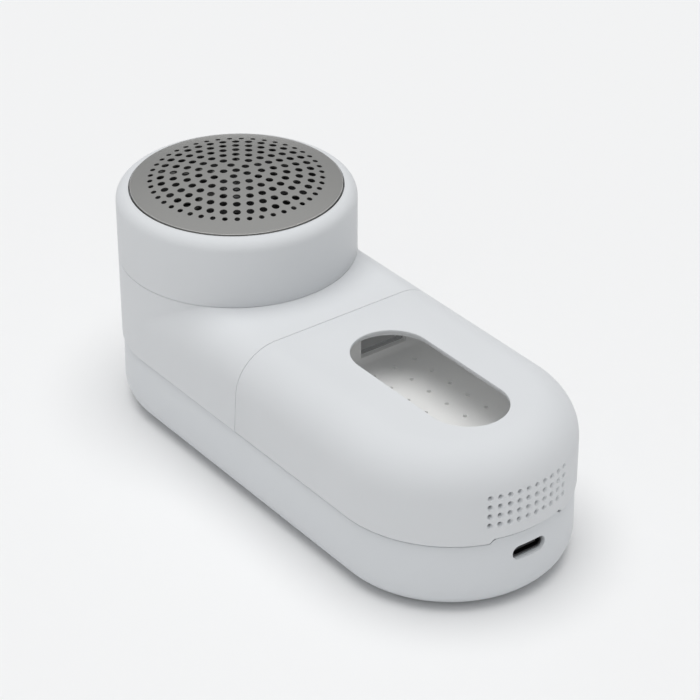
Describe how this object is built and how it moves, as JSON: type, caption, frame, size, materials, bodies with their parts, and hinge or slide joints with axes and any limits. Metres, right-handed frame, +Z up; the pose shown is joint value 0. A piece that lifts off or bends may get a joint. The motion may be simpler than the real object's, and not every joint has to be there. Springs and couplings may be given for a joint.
{
  "type": "fabric shaver",
  "caption": "Cordless fabric shaver: low rounded body, round head with a perforated steel foil over rotary blades, and a pull-off lint bin with a clear window.",
  "frame": {"origin": "on the flat resting face, under the middle of the body", "axes": "+X from the cutting head to the charging port, +Z up, out of the foil"},
  "size_m": [0.1444, 0.06, 0.0632],
  "materials": {
    "white_shell": "fine satin moulded white plastic",
    "base_shell": "fine satin moulded plastic, a shade cooler than the upper shell",
    "inner_plastic": "plain moulded plastic",
    "tray_plastic": "plain pale moulded plastic",
    "clear_lens": "clear polished plastic lens",
    "foil_steel": "brushed stainless sheet with punched holes",
    "blade_steel": "ground stainless blades",
    "spring_steel": "bright spring steel",
    "zinc_plate": "zinc plated steel",
    "black_plastic": "black moulded plastic",
    "copper": "copper winding and contacts",
    "bronze": "sintered bronze",
    "seal_rubber": "soft grey rubber",
    "battery_wrap": "foil pouch with a film wrap",
    "circuit_laminate": "green laminate with solder mask",
    "lamp_clear": "clear epoxy lamp",
    "lead_red": "red wire insulation",
    "lead_black": "black wire insulation"
  },
  "bodies": {
    "housing": {"cutter_well": "black_plastic", "motor_can": "zinc_plate", "motor_magnet_1": "black_plastic", "motor_brush_1": "copper", "motor_screw_1": "zinc_plate", "motor_magnet_2": "black_plastic", "motor_brush_2": "copper", "motor_screw_2": "zinc_plate", "motor_end_cap": "black_plastic", "upper_bushing": "bronze", "lower_bushing": "bronze", "interlock_switch": "black_plastic", "interlock_spring": "spring_steel", "base_shell": "base_shell", "deck_plate": "inner_plastic", "deck_screw_1": "zinc_plate", "deck_screw_2": "zinc_plate", "deck_screw_3": "zinc_plate", "deck_screw_4": "zinc_plate", "housing_screw_1": "zinc_plate", "housing_screw_2": "zinc_plate", "housing_screw_3": "zinc_plate", "housing_screw_4": "zinc_plate", "battery_cell": "battery_wrap", "circuit_board": "circuit_laminate", "charge_chip": "black_plastic", "charge_lamp": "lamp_clear", "usb_socket": "spring_steel", "usb_tongue": "black_plastic", "slide_switch_body": "black_plastic", "neck_shell": "white_shell", "lint_duct": "inner_plastic", "duct_gasket": "seal_rubber", "bin_catch": "spring_steel", "battery_lead_red": "lead_red", "motor_lead_red": "lead_red", "battery_lead_black": "lead_black", "motor_lead_black": "lead_black"},
    "guard": {"guard_ring": "white_shell", "foil": "foil_steel", "foil_retainer": "black_plastic"},
    "rotor": {"motor_shaft": "spring_steel", "motor_armature": "copper", "motor_commutator": "copper", "drive_hub": "black_plastic", "retaining_clip": "spring_steel", "cutter_spring": "spring_steel"},
    "cutter": {"cutter_carrier": "black_plastic", "cutter_blade_1": "blade_steel", "cutter_blade_2": "blade_steel", "cutter_blade_3": "blade_steel", "cutter_blade_4": "blade_steel", "cutter_blade_5": "blade_steel"},
    "bin": {"bin_cover": "white_shell", "bin_window": "clear_lens", "bin_tray": "tray_plastic"},
    "power_knob": {"slide_switch_knob": "inner_plastic"},
    "interlock": {"interlock_pin": "inner_plastic"}
  },
  "joints": [
    {"name": "guard_lift", "type": "slide", "parent": "housing", "child": "guard", "axis": [0, 0, 1], "range_m": [0, 0.03]},
    {"name": "cutter_spin", "type": "hinge", "parent": "housing", "child": "rotor", "pos_m": [-0.0422, 0, 0.05], "axis": [0, 0, 1], "continuous": true},
    {"name": "cutter_float", "type": "slide", "parent": "rotor", "child": "cutter", "axis": [0, 0, -1], "range_m": [0, 0.0008], "stiffness_N_per_m": 400, "deforming": ["cutter_spring"]},
    {"name": "bin_slide", "type": "slide", "parent": "housing", "child": "bin", "axis": [1, 0, 0], "range_m": [0, 0.078]},
    {"name": "power_slide", "type": "slide", "parent": "housing", "child": "power_knob", "axis": [1, 0, 0], "range_m": [0, 0.004]},
    {"name": "interlock_travel", "type": "slide", "parent": "housing", "child": "interlock", "axis": [0, 0, -1], "range_m": [0, 0.0006], "stiffness_N_per_m": 300, "deforming": ["interlock_spring"]}
  ]
}
